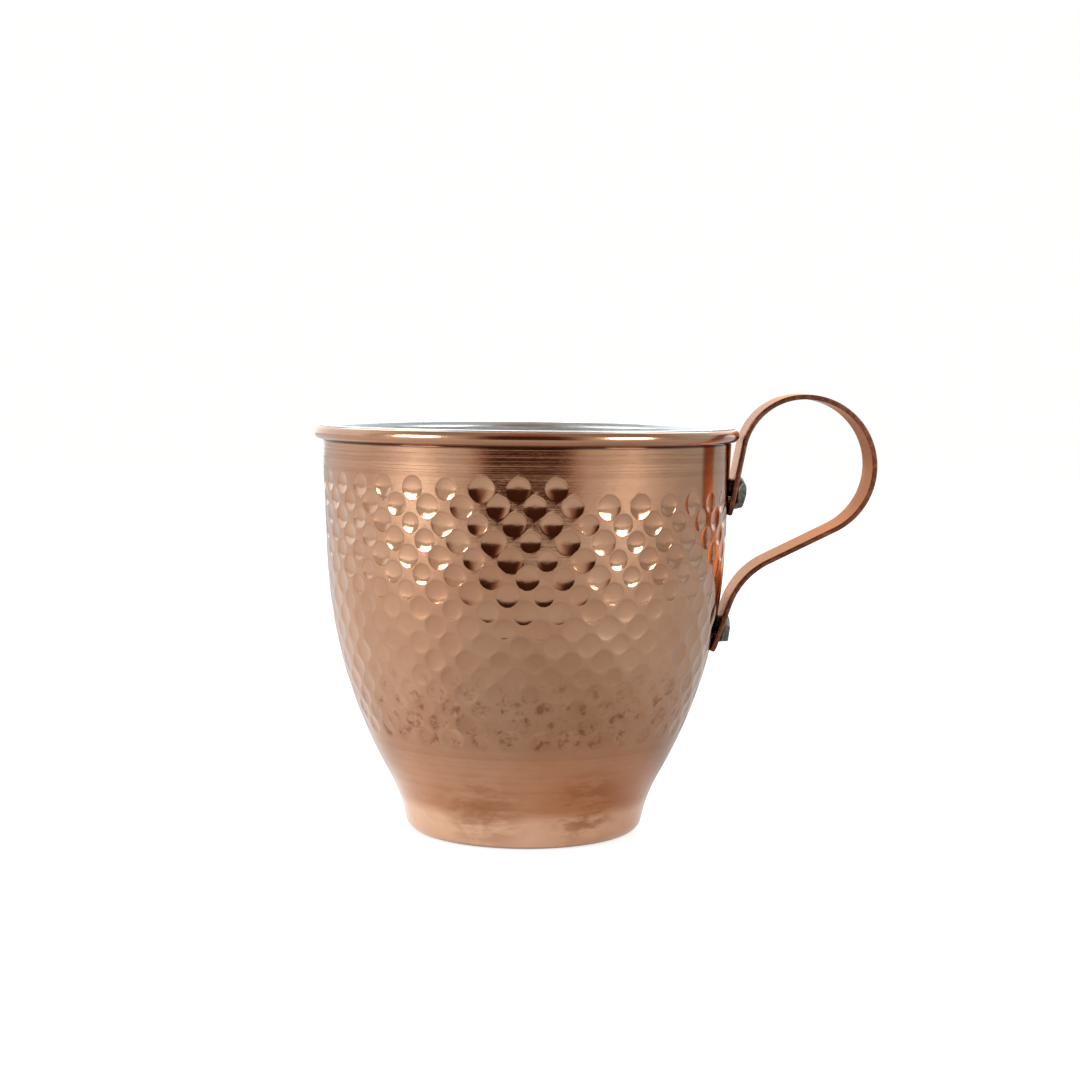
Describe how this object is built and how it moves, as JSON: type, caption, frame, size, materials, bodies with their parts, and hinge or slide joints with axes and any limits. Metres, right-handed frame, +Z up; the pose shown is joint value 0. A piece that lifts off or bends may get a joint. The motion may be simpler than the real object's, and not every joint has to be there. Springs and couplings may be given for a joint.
{
  "type": "hammered copper mug",
  "caption": "Tapered hammered copper mug with a tinned inside, a rolled rim and a looped strap handle riveted to the wall.",
  "frame": {"origin": "centre of the flat base, on the surface that the mug stands on", "axes": "+Z up along the cup's axis, +X from the axis towards the handle"},
  "size_m": [0.1253, 0.095, 0.0986],
  "materials": {
    "cup_copper": "polished hammered copper",
    "strap_copper": "brushed copper",
    "tin": "wiped tin, satin",
    "wire": "drawn wire",
    "rivet_metal": "dark hammered"
  },
  "bodies": {
    "root": {"cup_shell": "cup_copper", "tin_lining": "tin", "rim_wire": "wire", "handle_strap": "strap_copper", "upper_rivet": "rivet_metal", "lower_rivet": "rivet_metal"}
  },
  "joints": []
}
